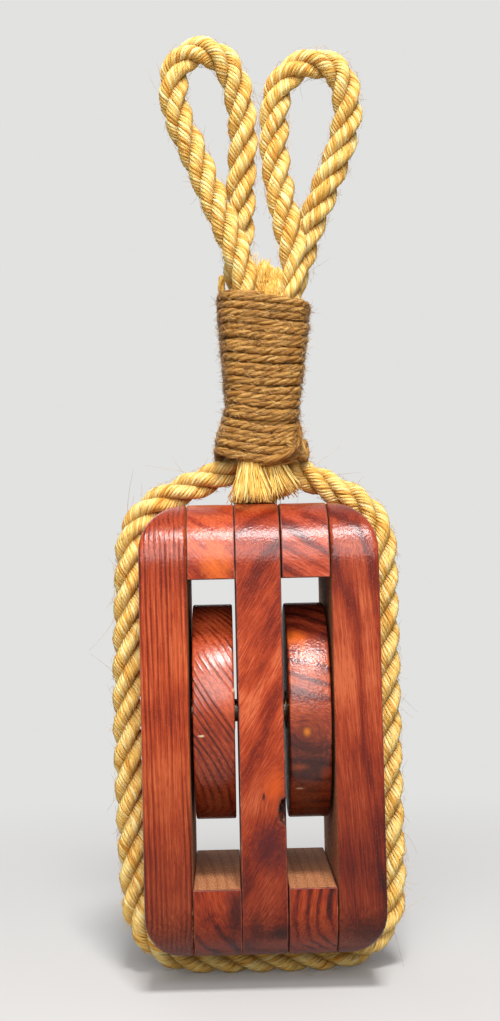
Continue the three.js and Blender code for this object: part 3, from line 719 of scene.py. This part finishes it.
# Centre partition. A sawn softwood board, rolled over at head and tail like the whole
# shell, stained red-brown and varnished. A knot has broken out of its front right edge.
end_roll = 0.025
arris = 0.0005
score_clearance = 0.0003
score_sides = 28
score_route, score_run = smooth_route(strop_points[9:-9], 0.004)
squarely = 0.9
touching = 1e-4
smooth_angle = math.radians(32)


def select_only(piece):
    bpy.ops.object.select_all(action="DESELECT")
    piece.select_set(True)
    bpy.context.view_layer.objects.active = piece


def block_between(name, low, high):
    bpy.ops.object.select_all(action="DESELECT")
    bpy.ops.mesh.primitive_cube_add(size=1, location=(Vector(low) + Vector(high)) / 2)
    piece = bpy.context.object
    piece.name = name
    piece.scale = Vector(high) - Vector(low)
    bpy.ops.object.transform_apply(location=True, rotation=True, scale=True)
    return piece


def start_editing(piece, kind):
    """Opens a piece in edit mode with nothing selected, to pick its edges or faces."""
    select_only(piece)
    bpy.ops.object.mode_set(mode="EDIT")
    bpy.ops.mesh.select_mode(type=kind)
    bpy.ops.mesh.select_all(action="DESELECT")
    return bmesh.from_edit_mesh(piece.data)


def round_edges(piece, radius, segments, wanted):
    """Bevels the edges that wanted picks by their middle and direction."""
    shape = start_editing(piece, "EDGE")
    for edge in shape.edges:
        first, second = (corner.co for corner in edge.verts)
        if wanted((first + second) / 2, (second - first).normalized()):
            edge.select_set(True)
    bmesh.update_edit_mesh(piece.data)
    bpy.ops.mesh.bevel(offset=radius, segments=segments, profile=0.5, affect="EDGES")
    bpy.ops.object.mode_set(mode="OBJECT")


def work_over(piece, kind, **settings):
    """Puts a modifier on a piece, sets it up and applies it."""
    select_only(piece)
    change = piece.modifiers.new(kind.lower(), kind)
    for key, value in settings.items():
        setattr(change, key, value)
    bpy.ops.object.modifier_apply(modifier=change.name)


def combine(piece, other, operation):
    work_over(piece, "BOOLEAN", operation=operation, solver="EXACT", object=other)


high, wide = frame_on_route(score_route, depth_axis)[1:]
turns = np.arange(score_sides) * 2 * np.pi / score_sides
score_skin = score_route[:, None] + (rope_thickness / 2 + score_clearance) * (
    wide[:, None] * np.cos(turns)[None, :, None] + high[:, None] * np.sin(turns)[None, :, None]
)
score_walls, score_ends = tube_faces(len(score_run), score_sides)
score_cutter = make_piece("score_cutter", score_skin.reshape(-1, 3), score_walls + score_ends)


def roll_ends(piece, low, high, head=True, tail=True):
    def at_an_end(middle, direction):
        front_or_back = min(abs(middle.y - low.y), abs(middle.y - high.y)) < touching
        at_head = head and abs(middle.z - high.z) < touching
        at_tail = tail and abs(middle.z - low.z) < touching
        return abs(direction.x) > squarely and front_or_back and (at_head or at_tail)
    round_edges(piece, end_roll, 16, at_an_end)


def ease_arrises(piece, finishes, finish_at):
    """Takes the sharp edges off and rubs them; finish_at picks each face's finish."""
    piece.data.materials.clear()
    for finish in finishes:
        piece.data.materials.append(finish)
    shape = start_editing(piece, "FACE")
    for face in shape.faces:
        face.material_index = finish_at(face.calc_center_median(), face.normal)
    bmesh.update_edit_mesh(piece.data)
    bpy.ops.mesh.select_mode(type="EDGE")
    bpy.ops.mesh.edges_select_sharp(sharpness=math.radians(48))
    bpy.ops.mesh.bevel(offset=arris, segments=2, profile=0.5, affect="EDGES", material=2)
    bpy.ops.object.mode_set(mode="OBJECT")
    bpy.ops.object.shade_smooth_by_angle(angle=smooth_angle)
    work_over(piece, "WEIGHTED_NORMAL", keep_sharp=True)


def vectors(operation, first, second=None):
    inputs = {0: first} if second is None else {0: first, 1: second}
    output = "Value" if operation == "LENGTH" else "Vector"
    return put("VectorMath", inputs, output=output, operation=operation)


def ranged(value, start, end, most=1.0, how="LINEAR"):
    """From 0 at start to most at end."""
    inputs = {"Value": value, "From Min": start, "From Max": end, "To Max": most}
    return put("MapRange", inputs, interpolation_type=how)


def faded(value, start, end, most=1.0):
    return ranged(value, start, end, most, "SMOOTHSTEP")


def way_from(here, place, size):
    """The way from a place on the board, and how long it is measured in the size."""
    way = vectors("SUBTRACT", here, from_pin(*place))
    size = [part / 1000 for part in size]
    return way, vectors("LENGTH", vectors("DIVIDE", way, size))


def board_finish(
    name, tones, pith, turn, ring_gap, waver, contrast,
    spots=(), knots=(), ridge=0.6, craze=1.0, fibre_run=130, varnish=1.36,
):
    """Varnished, stained softwood: yearly rings round the board's own pith, fine fibre, dark
    pores and blotchy stain. Painted shade darkens the stain towards the tail, where the light
    falls off, and on the upturned head, which is partly darker end grain and partly painted
    shade. Lengths are in millimetres, places are from the pin and turns are in degrees. A spot
    has a place, size, tint, strength and, where it is ringed, ring gap; a knot has a place and
    how far the grain bends."""
    coat = {"Coat Weight": 1.0, "Coat IOR": varnish, "Coat Roughness": 0.24}
    finish, tree = finish_named(name, 0.5, {"Specular IOR Level": 0.0, **coat})
    light, dark, deep = (colour(*tones[number]) for number in (0, 2, 3))
    here = at_object(tree)
    flowing = here
    for place, reach in knots:
        way, far = way_from(here, place, reach)
        bend = faded(far, 1.0, 0.1, 0.85)
        bends = put("CombineXYZ", {0: bend, 1: bend, 2: bend})
        flowing = vectors("SUBTRACT", flowing, vectors("MULTIPLY", way, bends))
    centred = vectors("SUBTRACT", flowing, from_pin(*pith))
    turn = [math.radians(angle) for angle in turn]
    turned = put("Mapping", {"Vector": centred, "Rotation": turn})
    drift = vectors("SUBTRACT", noise(turned, 14.0, output="Color"), (0.5, 0.5, 0.5))
    drift = vectors("MULTIPLY", drift, (waver / 1000, waver / 1000, 0))
    flat = vectors("MULTIPLY", vectors("ADD", turned, drift), (1, 1, 0))
    rings = sums("DIVIDE", vectors("LENGTH", flat), ring_gap / 1000)
    rings = scaled(stretched_noise(turned, (130, 130, 12)), 1.1, rings)
    wave = scaled(sums("COSINE", scaled(rings, 2 * math.pi)), 0.5, 0.5)
    years = stretched_noise(turned, (400 / ring_gap, 400 / ring_gap, 9), 1.0)
    late = sums("MULTIPLY", sums("POWER", wave, 2.6), ranged(years, 0.32, 0.62))
    fibre = stretched_noise(turned, (1800, 1800, fibre_run), 3.0, 0.65)
    blotch = noise(here, 34.0, 3.0)
    tone = scaled(late, -contrast, scaled(fibre, 1.1, 0.09))
    tone = sums("ADD", sums("SUBTRACT", blotch, 0.5), tone)
    stops = zip((0.05, 0.34, 0.63, 0.92), reversed(tones))
    stain = shades(tone, *((place, *shade) for place, shade in stops))
    pore = ranged(stretched_noise(turned, (2600, 2600, 240), 1.0), 0.58, 0.68)
    stain = mixed(scaled(pore, 0.5), stain, dark)
    fleck = ranged(noise(here, 1500.0, 1.0), 0.6, 0.74)
    stain = mixed(scaled(fleck, 0.22), stain, light)
    ragged = scaled(blotch, 0.4, noise(turned, 520.0, 4.0))
    ragged = sums("SUBTRACT", ragged, 0.7)
    for place, size, tint, strength, *gap in spots:
        way, far = way_from(here, place, size)
        near = faded(scaled(ragged, 1.3, far), 1.25, 0.15, strength)
        tint = colour(*tint)
        if gap:
            ring = sums("DIVIDE", vectors("LENGTH", way), gap[0] / 1000)
            ring = sums("COSINE", scaled(sums("ADD", ring, blotch), 2 * math.pi))
            tint = mixed(faded(ring, 0.0, 1.0, 0.8), tint, deep)
        stain = mixed(near, stain, tint)
    height = put("SeparateXYZ", {0: here}, output="Z")
    # Painted shade: the stain goes darker towards the tail, where the light falls off, and on the upturned
    # head, which is partly darker end grain and partly painted shade.
    tail_shade = ranged(height, pin_height + 0.005, pin_height - 0.085)
    head_end_grain_and_shade = ranged(height, pin_height + 0.074, pin_height + 0.0895, 0.7)
    stain = mixed(tail_shade, stain, (0.39, 0.32, 0.26, 1), "MULTIPLY")
    join(mixed(head_end_grain_and_shade, stain, dark), "Base Color")
    emboss(scaled(late, 0.9, scaled(fibre, 0.6)), 0.0004, ridge)
    wrinkle = scaled(noise(here, 900.0, 3.0), craze)
    emboss(scaled(late, 0.8 * ridge, wrinkle), 0.00022, 0.6, "Coat Normal")
    return finish


partition_stain = board_finish(
    "partition_stain", ((210, 106, 66), (172, 63, 28), (122, 33, 12), (72, 17, 7)),
    (90, -120, 0), (0, -30, 0), 12.5, 14, 0.46,
    spots=(
        ((5.2, -44.5, -27.5), (5.4, 20, 9.2), (216, 90, 30), 0.75),
        ((0.3, -44.5, -30.1), (0.7, 20, 1.9), (52, 16, 8), 0.9),
        ((3.1, -44.5, -49.7), (8.5, 20, 11.5), (84, 26, 32), 0.8),
        ((7.5, -44.5, -34.5), (3, 20, 7.8), (70, 22, 10), 0.7),
        ((6.2, -36, -83.5), (8.5, 30, 4.2), (48, 11, 12), 0.85),
        ((-3.5, -38, -81.5), (3.5, 30, 7.5), (66, 16, 10), 0.6, 1.6),
    ),
    knots=(((8.8, -44.5, -33), (16.5, 80, 19)),),
)
bare_wood, tree = finish_named("bare_sawn_softwood", 0.8)
bare_place = at_object(tree)
heart = vectors("SUBTRACT", bare_place, from_pin(-34, -60, -72.5))
bare_ring = vectors("LENGTH", vectors("MULTIPLY", heart, (1, 0.13, 0.2)))
bare_ring = scaled(noise(bare_place, 60.0), 2.4, sums("DIVIDE", bare_ring, 0.00062))
bare_ring = sums("POWER", scaled(sums("SINE", bare_ring), 0.5, 0.5), 3.0)
saw_marks = stretched_noise(bare_place, (2200, 500, 1200), 3.0)
bare_tone = scaled(bare_ring, -0.14, scaled(saw_marks, 1.5, -0.1))
paint(bare_tone, (0.2, 98, 54, 28), (0.55, 160, 98, 58), (0.9, 200, 140, 90))
emboss(saw_marks, 0.0003, 0.4)
rubbed_arris, tree = finish_named("rubbed_arris", 0.5)
rubbing = noise(at_object(tree), 260.0, 3.0)
paint(rubbing, (0.38, 84, 28, 14), (0.6, 132, 54, 30), (0.8, 186, 118, 84))
broken_knot, tree = finish_named("broken_knot", 0.6)
torn = stretched_noise(at_object(tree), (900, 900, 300), 3.0, 0.7)
paint(torn, (0.35, 20, 12, 10), (0.55, 62, 30, 18), (0.75, 150, 92, 52))
emboss(torn, 0.0008, 0.8)

partition_low, partition_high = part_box("centre_partition")
partition = block_between("partition_board", partition_low, partition_high)
roll_ends(partition, partition_low, partition_high)
combine(partition, score_cutter, "DIFFERENCE")
hollow_height = pin_height - 0.036
bpy.ops.object.select_all(action="DESELECT")
bpy.ops.mesh.primitive_ico_sphere_add(subdivisions=4, radius=1, location=(0, 0, 0))
bite = bpy.context.object
bite.scale = (0.0031, 0.0048, 0.0056)
bite.location = (partition_high.x + 0.0002, partition_low.y, hollow_height)
bpy.ops.object.transform_apply(location=True, rotation=True, scale=True)
for corner in bite.data.vertices:
    ragged = math.sin(corner.co.z * 3100) + math.sin(corner.co.y * 2300 + corner.co.z * 1700)
    corner.co.x += 0.00022 * ragged
    corner.co.z += 0.0003 * math.sin(corner.co.y * 2900)
combine(partition, bite, "DIFFERENCE")
bpy.data.objects.remove(bite)


def on_partition(middle, normal):
    """Stained all over, bare in the slots, and broken wood in the hollow of the knot."""
    if abs(normal.x) > squarely:
        return 1
    beside_edge = middle.x > partition_high.x - 0.0034 and middle.y < partition_low.y + 0.0052
    in_hollow = beside_edge and abs(middle.z - hollow_height) < 0.0062
    return 3 if in_hollow and normal.y > -0.97 else 0


ease_arrises(partition, (partition_stain, bare_wood, rubbed_arris, broken_knot), on_partition)
fix(partition, "light_board", "centre_partition")

# Head and tail spacers. Four short blocks of the same stock that close the slots at head
# and tail. Each is rolled at its outer end, and the sawn end towards the slot is bare.
spacers = {
    "left_head": dict(
        tones=((226, 120, 66), (196, 82, 42), (146, 44, 22), (88, 23, 12)),
        pith=(-50, -90, 20), turn=(0, 40, 0), ring_gap=6.2, waver=12, contrast=0.42,
        spots=(
            ((-16.5, -44, 61.5), (6.5, 20, 10.5), (230, 110, 36), 0.6),
            ((-19, -40, 83), (12, 30, 4), (84, 26, 22), 0.6),
        ),
    ),
    "right_head": dict(
        tones=((220, 114, 80), (186, 76, 46), (120, 36, 22), (62, 17, 14)),
        pith=(30, -20, -20), turn=(0, 60, 0), ring_gap=6.2, waver=6, contrast=0.5,
        spots=(((20, -34, 84.5), (20, 20, 3), (66, 20, 20), 0.55),),
    ),
    "left_tail": dict(
        tones=((224, 104, 54), (190, 68, 28), (116, 31, 13), (60, 15, 10)),
        pith=(-4, -30, -200), turn=(0, 16, 0), ring_gap=9, waver=12, contrast=0.5,
        spots=(
            ((-11.5, -44, -74), (4.2, 20, 13), (66, 20, 22), 0.8),
            ((-14.5, -44, -70), (1.2, 20, 8), (160, 64, 48), 0.6),
        ),
    ),
    "right_tail": dict(
        tones=((224, 102, 48), (190, 68, 26), (116, 31, 11), (60, 15, 8)),
        pith=(60, -80, -100), turn=(0, -9, 0), ring_gap=3.6, waver=4, contrast=0.6,
    ),
}
for which, looks in spacers.items():
    node = which + "_spacer"
    low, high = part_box(node)
    at_head = which.endswith("head")
    spacer = block_between(which + "_block", low, high)
    roll_ends(spacer, low, high, head=at_head, tail=not at_head)
    combine(spacer, score_cutter, "DIFFERENCE")
    stain = board_finish(which + "_stain", **looks)
    towards_slot = -1 if at_head else 1
    ease_arrises(
        spacer, (stain, bare_wood, rubbed_arris),
        lambda middle, normal, way=towards_slot: int(abs(normal.x) > squarely or normal.z * way > squarely),
    )
    fix(spacer, {"left_head": "light_board", "right_tail": "stained_board"}.get(which, "dark_board"), node)

# Cheeks. The two outer boards. Besides the rolled ends, their outer corners are rounded
# off in front view, and the crease where the two rounds meet is softened by hand.
cheek_skin = 0.00085
softening_start = 0.0025
softening_run = 0.004
cheeks = {
    "left": dict(
        tones=((204, 100, 56), (172, 66, 28), (126, 35, 11), (74, 17, 6)),
        pith=(130, -30, 0), turn=(0, 0.6, 0), ring_gap=1.9, waver=2.6, contrast=0.36, ridge=1.0,
    ),
    "right": dict(
        tones=((190, 92, 54), (154, 56, 26), (108, 28, 12), (56, 14, 7)),
        pith=(-30, -120, -50), turn=(0, 4, 0), ring_gap=9.2, waver=15, contrast=0.4,
        spots=(
            ((38, -36, 83), (14, 30, 4), (66, 18, 18), 0.6),
            ((40, -40, -83), (12, 30, 7), (58, 14, 12), 0.6),
        ),
    ),
}
for side, looks in cheeks.items():
    node = side + "_cheek"
    low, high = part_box(node)
    cheek = block_between(side + "_cheek_board", low, high)
    roll_ends(cheek, low, high)
    outer, inner = (low.x, high.x) if side == "left" else (high.x, low.x)
    outline = block_between(
        "cheek_outline", (low.x, low.y - 0.01, low.z), (high.x, high.y + 0.01, high.z),
    )
    round_edges(
        outline, corner_round, 18,
        lambda middle, direction, x=outer: abs(direction.y) > squarely and abs(middle.x - x) < touching,
    )
    combine(cheek, outline, "INTERSECT")
    combine(cheek, score_cutter, "DIFFERENCE")
    bpy.data.objects.remove(outline)
    work_over(cheek, "REMESH", mode="VOXEL", voxel_size=cheek_skin)
    softened = cheek.vertex_groups.new(name="softened")
    for corner in cheek.data.vertices:
        share = (abs(corner.co.x - inner) - softening_start) / softening_run
        softened.add([corner.index], min(max(share, 0), 1), "REPLACE")
    work_over(cheek, "SMOOTH", factor=0.6, iterations=9, vertex_group="softened")
    cheek.vertex_groups.clear()
    for finish in (board_finish(side + "_cheek_stain", fibre_run=60, **looks), bare_wood):
        cheek.data.materials.append(finish)
    for face in cheek.data.polygons:
        face.use_smooth = True
        face.material_index = int(abs(face.normal.x) > squarely and abs(face.center.x - inner) < 0.0012)
    fix(cheek, "stained_board", node)
bpy.data.objects.remove(score_cutter)

# Sheaves. Two plain wooden wheels, sawn from the same board width and turned, with eased
# rims. Each turns by itself, on its own brass bush.
sheave_edge = 0.0008
sheaves = {
    "left": dict(
        tones=((194, 90, 54), (160, 60, 30), (110, 34, 15), (60, 17, 9)),
        pith=(-90, -50, 0), turn=(0, 33, 0), ring_gap=2.4, waver=10, contrast=0.42,
        ridge=1.0, craze=0.5, varnish=1.42,
        spots=(
            ((-23.6, -44.5, -6), (1.2, 4, 0.5), (240, 214, 180), 1.0),
            ((-10.6, -44.5, 11.6), (0.5, 4, 1.2), (240, 206, 176), 1.0),
        ),
    ),
    "right": dict(
        tones=((184, 84, 46), (138, 52, 30), (90, 29, 19), (44, 14, 12)),
        pith=(30, -60, -10), turn=(40, 62, 0), ring_gap=6.5, waver=34, contrast=0.44,
        ridge=0.4, craze=1.5, varnish=1.48,
        knots=(((17.8, -44.5, -5.4), (13, 30, 13)), ((14.5, -36, 31), (10, 30, 10))),
        spots=(
            ((19.5, -41, -19), (13, 30, 13.5), (50, 16, 10), 0.85, 2.6),
            ((17.8, -44.5, -5.4), (8.5, 12, 7.5), (96, 38, 20), 0.55, 3.2),
            ((14.5, -36, 31), (5.2, 12, 4.8), (214, 96, 26), 0.9),
            ((20.5, -39, 22), (2, 12, 6.6), (204, 88, 30), 0.75),
            ((17.2, -38, 26), (1.7, 12, 5), (214, 98, 30), 0.75),
            ((12.7, -37.5, 32.2), (2, 9, 2.2), (104, 48, 10), 0.9),
            ((25.8, -34, 31), (3, 12, 3), (64, 20, 20), 0.7),
            ((17.8, -44.5, -5.4), (2, 12, 2.4), (206, 116, 26), 0.95),
            ((25.7, -38.5, -22.5), (3, 12, 3.4), (150, 54, 18), 0.8),
            ((14.7, -42, -19.5), (4.4, 12, 1.6), (170, 74, 26), 0.7),
            ((20.5, -40, -26.5), (3.6, 12, 1.4), (140, 56, 22), 0.7),
            ((15, -34, -28.6), (1.8, 10, 0.5), (214, 188, 150), 0.9),
        ),
    ),
}
for side, looks in sheaves.items():
    node = side + "_sheave"
    low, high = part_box(node)
    bush_low, bush_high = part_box(side + "_sheave_bush")
    radius = (high.z - low.z) / 2
    bore = (bush_high.z - bush_low.z) / 2 + 0.0003
    bpy.ops.object.select_all(action="DESELECT")
    bpy.ops.mesh.primitive_cylinder_add(
        vertices=160, radius=radius, depth=high.x - low.x,
        location=((low.x + high.x) / 2, 0, pin_height), rotation=(0, math.pi / 2, 0),
    )
    sheave = bpy.context.object
    sheave.name = side + "_wheel_wood"
    bpy.ops.object.transform_apply(location=True, rotation=True, scale=True)
    shape = start_editing(sheave, "FACE")
    for face in shape.faces:
        face.select_set(abs(face.normal.x) > squarely)
    bmesh.update_edit_mesh(sheave.data)
    bpy.ops.mesh.inset(thickness=radius - bore, use_even_offset=False)
    bpy.ops.mesh.bridge_edge_loops()
    bpy.ops.object.mode_set(mode="OBJECT")
    round_edges(
        sheave, sheave_edge, 3,
        lambda middle, direction, rim=radius - 0.001: (
            abs(direction.x) < 0.1 and math.hypot(middle.y, middle.z - pin_height) > rim
        ),
    )
    bpy.ops.object.shade_smooth_by_angle(angle=smooth_angle)
    dress(sheave, board_finish(side + "_sheave_stain", **looks), "sheave_wood", node, side + "_wheel")

# Pin, bushes and dowels. A turned steel pin through both cheeks, two turned brass bushes,
# and four birch dowels that line the boards up; they keep their shapes from model.glb.


def lined_finish(name, roughness, looks, stretch, detail, *stops):
    finish, tree = finish_named(name, roughness, looks)
    paint(stretched_noise(at_object(tree), stretch, detail), *stops)
    return finish


steel = lined_finish(
    "turned_steel", 0.35, {"Metallic": 1.0}, (9000, 60, 60), 2.0,
    (0.3, 120, 121, 124), (0.7, 168, 169, 171),
)
brass = lined_finish(
    "turned_brass", 0.38, {"Metallic": 1.0}, (7000, 80, 80), 2.0,
    (0.3, 150, 112, 58), (0.7, 196, 156, 88),
)
birch = lined_finish(
    "birch_dowel", 0.65, {}, (60, 1600, 1600), 3.0, (0.3, 184, 146, 96), (0.7, 216, 184, 134),
)
kept_nodes = {
    "sheave_pin": steel, "left_sheave_bush": brass, "right_sheave_bush": brass,
    "head_dowel_front": birch, "head_dowel_back": birch, "tail_dowel_front": birch, "tail_dowel_back": birch,
}
for node, finish in kept_nodes.items():
    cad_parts[node].data.materials.clear()
    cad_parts[node].data.materials.append(finish)

# Floor and light. A plain pale floor just under the strop that fades into an even pale
# surround, a broad lamp above the camera, a small strong one high up and a weak one behind.
surround_tone = (0.76, 0.76, 0.75, 1)


def seen_directly(tree):
    """1 for rays from the camera, in a mirror or through glass, and 0 for light on the object."""
    rays = put("LightPath", {}, tree).node.outputs
    plain = sums("MAXIMUM", rays["Is Camera Ray"], rays["Is Glossy Ray"])
    return sums("MAXIMUM", plain, rays["Is Transmission Ray"])


bpy.ops.object.select_all(action="DESELECT")
bpy.ops.mesh.primitive_plane_add(size=40, location=(0, 0, cad_box[0][2] - 0.0004))
floor = bpy.context.object
floor.name = "pale_floor"
floor_looks = {"Specular IOR Level": 0.1, "Emission Color": surround_tone}
floor_finish, tree = finish_named("pale_floor", 0.9, floor_looks)
seen = seen_directly(tree)
join(mixed(seen, (0.4, 0.39, 0.37, 1), (0.53, 0.52, 0.51, 1)), "Base Color")
join(scaled(seen, 0.08), "Emission Strength")
far_off = faded(vectors("LENGTH", at_object(tree)), 0.14, 0.55)
far_tone = mixed(seen, (0.2, 0.2, 0.2, 1), surround_tone)
far_glow = put("Emission", {"Color": far_tone})
close_by = tree.nodes["Principled BSDF"].outputs[0]
blend = put("MixShader", {0: far_off, 1: close_by, 2: far_glow})
tree.links.new(blend, tree.nodes["Material Output"].inputs["Surface"])
floor.data.materials.append(floor_finish)
lamps = (
    ("key_lamp", (-0.05, -1.5, pin_height + 0.86), 0.95, 21.5),
    ("top_lamp", (0.12, -1.2, pin_height + 2.05), 0.5, 54.0),
    ("back_lamp", (-0.5, 1.0, pin_height + 0.7), 0.8, 2.2),
)
for name, place, size, strength in lamps:
    lamp_data = bpy.data.lights.new(name, "AREA")
    lamp_data.size = size
    lamp_data.energy = strength
    lamp = bpy.data.objects.new(name, lamp_data)
    aim = Vector((0, 0, pin_height + 0.04)) - Vector(place)
    lamp.matrix_world = Matrix.Translation(place) @ aim.to_track_quat("-Z", "Y").to_matrix().to_4x4()
    bpy.context.scene.collection.objects.link(lamp)
world = bpy.data.worlds.new("pale_surround")
world.use_nodes = True
bpy.context.scene.world = world
tree = world.node_tree
surround = mixed(seen_directly(tree), (0.23, 0.23, 0.23, 1), surround_tone)
tree.links.new(surround, tree.nodes["Background"].inputs["Color"])
